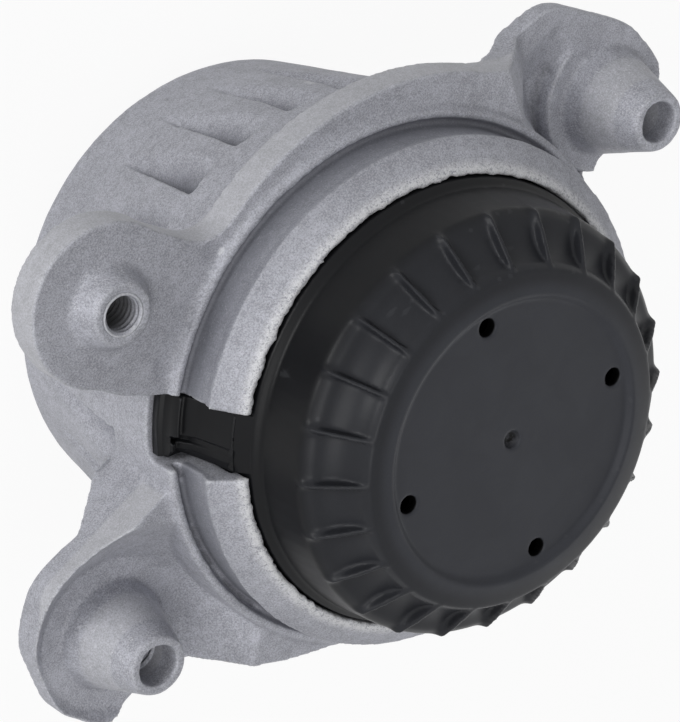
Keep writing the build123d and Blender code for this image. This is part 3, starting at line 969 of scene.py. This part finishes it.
class MOUNT_OT_cap(bpy.types.Operator):
    """Gives the ribbed cap its rounded skin, its stepped lug and its black plastic"""

    bl_idname = "mount.cap"
    bl_label = "Ribbed cap"

    def execute(self, context):
        settings = context.scene.mount_cap
        mesh = rounded(joined_copy("base_cap"), settings.cell, 2)
        ease(mesh, self.near_edge, settings.passes)
        self.dent(mesh)
        self.shorten_lug(mesh)
        mesh = thinned(mesh, MOST_TRIANGLES)
        piece = new_object("cap_moulding", mesh, "black_plastic", "base_cap")
        plastic = moulded_plastic(settings)
        dress(piece, plastic)
        dress(new_object("cap_lug", self.lug(), "black_plastic"), plastic)
        return {"FINISHED"}

    def shorten_lug(self, mesh):
        """Draws the lug's end in, so that its moulded skin covers it."""
        points = mesh_points(mesh)
        reach = axis_distance(points)
        end = np.where(points[:, 2] < LUG_FOOT_Z, LUG_FOOT_END_R, LUG_UPPER_END_R)
        points[:, :2] *= (np.minimum(reach, end) / np.maximum(reach, TINY))[:, None]
        set_points(mesh, points)

    def lug(self):
        """Skin of the lug: a height over angle and radius, closed below and at both ends.

        Outwards the height falls from the cap's wall to a flat with a cross ridge at its
        end. Across, a groove and a thin ledge lie before the low end, and both fade out
        towards the cap's wall.
        """
        low_angle, high_angle = LUG_ANGLES
        radius = np.linspace(LUG_START_R, LUG_END_R, 60)[:, None]
        angle = np.linspace(low_angle, high_angle, 120)[None, :]
        crest = curve(radius, LUG_CREST)
        cut = curve(angle, LUG_CUT) * curve(radius, LUG_CUT_FADE)
        top = np.maximum(crest - cut, np.minimum(crest, LUG_LOWEST_TOP_Z))
        around = np.concatenate((angle, angle[:, ::-1]), axis=1)
        height = np.concatenate((top, np.full_like(top, LUG_FLOOR_Z)), axis=1)
        middle = (low_angle + high_angle) / 2 + 0 * around
        turn = np.radians(np.vstack((middle, around + 0 * radius, middle)))
        reach = np.vstack((radius[:1], radius, radius[-1:])) + 0 * turn
        centre = np.full((1, height.shape[1]), LUG_FLOOR_Z + 1.0)
        height = np.vstack((centre, height, centre))
        points = np.stack((reach * np.cos(turn), reach * np.sin(turn), height), axis=-1)
        rows, columns = height.shape
        quads = ring_quads(rows, columns)[:-columns]
        skin = weld(mesh_from("cap_lug", points.reshape(-1, 3), quads), outwards=True)
        skin.shade_smooth()
        return skin

    def near_edge(self, points):
        """Weight that falls off as a bell with the distance from the shoulder's edge."""
        away = np.hypot(axis_distance(points) - CAP_EDGE_R, points[:, 2] - CAP_EDGE_Z)
        return 0.5 * np.exp(-((away / CAP_EDGE_SPREAD) ** 2))

    def dent(self, mesh):
        """Tears the gate's pit: noise of the place sinks the points near the axis."""
        points = mesh_points(mesh)
        reach = axis_distance(points)
        near = np.exp(-((reach / GATE_R) ** 4)) * (points[:, 2] > CAP_Z - 1.5)
        points[:, 2] += 0.45 * near * lattice_noise(points, 0.8, 8)
        set_points(mesh, points)


class MOUNT_OT_rubber(bpy.types.Operator):
    """Moulds the rubber parts"""

    bl_idname = "mount.rubber"
    bl_label = "Rubber parts"

    def execute(self, context):
        settings = context.scene.mount_rubber
        rubber = soft_rubber("rubber", tuple(settings.colour))
        ring = self.buffer(settings)
        dress(new_object("buffer_ring", ring, "rubber", "rebound_buffer"), rubber)
        for node in ("main_spring", "bellows_diaphragm", "plate_seal", "decoupler_membrane"):
            dress(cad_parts[node], rubber)
        return {"FINISHED"}

    def buffer(self, settings):
        """Rebound ring: a rounded box profile whose rear face rises in bumps.

        The profile is a superellipse of the ring's width and height. Its lower half is
        drawn in between the bumps by a cosine of the angle.
        """
        low, high = (np.array(corner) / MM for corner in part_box("rebound_buffer"))
        inner, outer = BUFFER_INNER_R, high[0]
        columns = 12 * max(settings.bumps, 12)
        around = np.linspace(0, 2 * np.pi, 48, endpoint=False)[:, None]
        turn = np.linspace(0, 2 * np.pi, columns, endpoint=False)[None, :]
        across = np.sign(np.cos(around)) * np.abs(np.cos(around)) ** BUFFER_SQUARENESS
        upward = np.sign(np.sin(around)) * np.abs(np.sin(around)) ** BUFFER_SQUARENESS
        hollow = BUFFER_BUMP * (0.5 - 0.5 * np.cos(settings.bumps * turn)) ** 2
        middle = (low[2] + high[2]) / 2
        half_height = (high[2] - low[2]) / 2 - BUFFER_MARGIN
        half_width = (outer - inner) / 2 - BUFFER_MARGIN
        height = middle + half_height * upward + hollow * np.clip(-upward, 0, 1)
        radius = (inner + outer) / 2 + half_width * across + 0 * turn
        return turned_ring("buffer_ring", radius, height)


class MOUNT_OT_metal(bpy.types.Operator):
    """Finishes the core, plates, rivets and rings"""

    bl_idname = "mount.metal"
    bl_label = "Metal parts"

    def execute(self, context):
        turned = turned_aluminium("turned_aluminium", (0.66, 0.665, 0.68))
        mesh = joined_copy("core")
        points = mesh_points(mesh)
        span = (-0.1, CORE_HOLE_DEPTH + 0.1)
        widen_hole(points, np.zeros(2), CORE_THREAD_R, CORE_SLEEVE_R, *span)
        set_points(mesh, points)
        core = new_object("core_forging", rounded(mesh, 0.5, 1), "turned_aluminium", "core")
        dress(core, turned)
        plate = turned_aluminium("plate_aluminium", (0.58, 0.585, 0.6))
        steel = plated_steel("plated_steel", (0.5, 0.505, 0.52))
        dress(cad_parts["upper_channel_plate"], plate)
        dress(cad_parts["lower_channel_plate"], plate)
        for node in ("plate_rivets", "spring_outer_ring", "rebound_stop_plate"):
            dress(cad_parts[node], steel)
        return {"FINISHED"}


class MOUNT_OT_stage(bpy.types.Operator):
    """Sets up the pale floor, the soft lights, the white room and the camera"""

    bl_idname = "mount.stage"
    bl_label = "Stage"

    def execute(self, context):
        settings = context.scene.mount_stage
        scene = context.scene
        self.floor(scene)
        self.lights(scene, settings)
        self.sky(scene, settings)
        self.camera(scene)
        scene.view_settings.view_transform = "Standard"
        return {"FINISHED"}

    def floor(self, scene):
        """Wide floor that reads as white and still takes the mount's shadow."""
        level = CAD_BOX[0][2] - FLOOR_DROP * MM
        reach = FLOOR_REACH * MM
        corners = ((-reach, -reach), (reach, -reach), (reach, reach), (-reach, reach))
        mesh = bpy.data.meshes.new("floor")
        mesh.from_pydata([(x, y, level) for x, y in corners], [], [(0, 1, 2, 3)])
        floor = bpy.data.objects.new("floor", mesh)
        scene.collection.objects.link(floor)
        finish = Finish("floor_white", Roughness=0.9)
        finish.shader.inputs["Base Color"].default_value = (0.85, 0.85, 0.85, 1.0)
        finish.shader.inputs["Specular IOR Level"].default_value = 0.0
        seen = Link(finish, seen_rays(finish.tree))
        glow = finish.node(
            "ShaderNodeEmission", {}, {"Color": (1.0, 1.0, 1.0, 1.0), "Strength": 1.0}
        )
        shader = Link(finish, finish.shader.outputs[0])
        blend = finish.node("ShaderNodeMixShader", {}, {0: seen * 0.93, 1: shader, 2: glow})
        output = finish.tree.nodes["Material Output"]
        finish.tree.links.new(blend.socket, output.inputs["Surface"])
        floor.data.materials.append(finish.material)

    def lights(self, scene, settings):
        """Three soft lights, each a place, a power and a size.

        The key light comes from the picture's left, a broader one from the camera's side
        and a weak one from the picture's lower right.
        """
        target = Vector((0.0, 0.0, 0.05))
        lamps = (
            ("key_light", (-0.95, 1.75, 0.25), settings.key, 0.8),
            ("fill_light", (-1.20, 0.80, 2.00), 1.2 * settings.key, 1.4),
            ("edge_light", (0.60, -1.90, 0.60), 0.3 * settings.key, 1.0),
        )
        for name, place, power, size in lamps:
            lamp = bpy.data.lights.new(name, "AREA")
            lamp.energy = power
            lamp.size = size
            light = bpy.data.objects.new(name, lamp)
            light.location = place
            light.rotation_euler = (target - Vector(place)).to_track_quat("-Z", "Y").to_euler()
            scene.collection.objects.link(light)

    def sky(self, scene, settings):
        """Even white room: it lights the mount at one strength and is seen at full white."""
        world = bpy.data.worlds.new("room")
        world.use_nodes = True
        nodes, links = world.node_tree.nodes, world.node_tree.links
        room = nodes["Background"]
        room.inputs["Color"].default_value = (0.98, 0.99, 1.0, 1.0)
        room.inputs["Strength"].default_value = settings.sky
        seen = nodes.new("ShaderNodeBackground")
        seen.inputs["Color"].default_value = (1.0, 1.0, 1.0, 1.0)
        blend = nodes.new("ShaderNodeMixShader")
        links.new(seen_rays(world.node_tree), blend.inputs[0])
        links.new(room.outputs[0], blend.inputs[1])
        links.new(seen.outputs[0], blend.inputs[2])
        links.new(blend.outputs[0], nodes["World Output"].inputs["Surface"])
        scene.world = world

    def camera(self, scene):
        """Camera at the photograph's viewing angle."""
        lens = bpy.data.cameras.new("camera")
        lens.sensor_fit = "AUTO"
        lens.sensor_width = SENSOR_MM
        lens.lens = SENSOR_MM * FOCAL_PX / LONG_SIDE_PX
        lens.clip_start = 0.05
        lens.clip_end = 50.0
        camera = bpy.data.objects.new("camera", lens)
        place = Vector(CAMERA_PLACE) * MM
        rows = zip(CAMERA_RIGHT, CAMERA_UP, CAMERA_BACK, place)
        camera.matrix_world = Matrix([*rows, (0, 0, 0, 1)])
        scene.collection.objects.link(camera)
        scene.camera = camera


class MOUNT_PT_panel(bpy.types.Panel):
    """Lists the pieces and their settings"""

    bl_label = "Engine mount"
    bl_idname = "MOUNT_PT_panel"
    bl_space_type = "VIEW_3D"
    bl_region_type = "UI"
    bl_category = "Engine mount"

    def draw(self, context):
        for operator in OPERATORS:
            self.layout.operator(operator.bl_idname)
        for key, group in SETTINGS.items():
            box = self.layout.box()
            for name in group.__annotations__:
                box.prop(getattr(context.scene, key), name)


SETTINGS = {
    "mount_casting": CastingSettings,
    "mount_threads": ThreadSettings,
    "mount_cap": CapSettings,
    "mount_rubber": RubberSettings,
    "mount_stage": StageSettings,
}
OPERATORS = (
    MOUNT_OT_housing,
    MOUNT_OT_threads,
    MOUNT_OT_cap,
    MOUNT_OT_rubber,
    MOUNT_OT_metal,
    MOUNT_OT_stage,
)


def register():
    """Registers the classes and puts the settings on the scene."""
    for group in SETTINGS.values():
        bpy.utils.register_class(group)
    for operator in OPERATORS:
        bpy.utils.register_class(operator)
    bpy.utils.register_class(MOUNT_PT_panel)
    for key, group in SETTINGS.items():
        setattr(bpy.types.Scene, key, PointerProperty(type=group))


def unregister():
    """Takes the settings off the scene and removes the classes."""
    for key in SETTINGS:
        delattr(bpy.types.Scene, key)
    bpy.utils.unregister_class(MOUNT_PT_panel)
    for operator in reversed(OPERATORS):
        bpy.utils.unregister_class(operator)
    for group in reversed(SETTINGS.values()):
        bpy.utils.unregister_class(group)


def main():
    """Registers the add-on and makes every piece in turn."""
    register()
    bpy.ops.mount.housing()
    bpy.ops.mount.threads()
    bpy.ops.mount.cap()
    bpy.ops.mount.rubber()
    bpy.ops.mount.metal()
    bpy.ops.mount.stage()


if __name__ == "__main__":
    main()
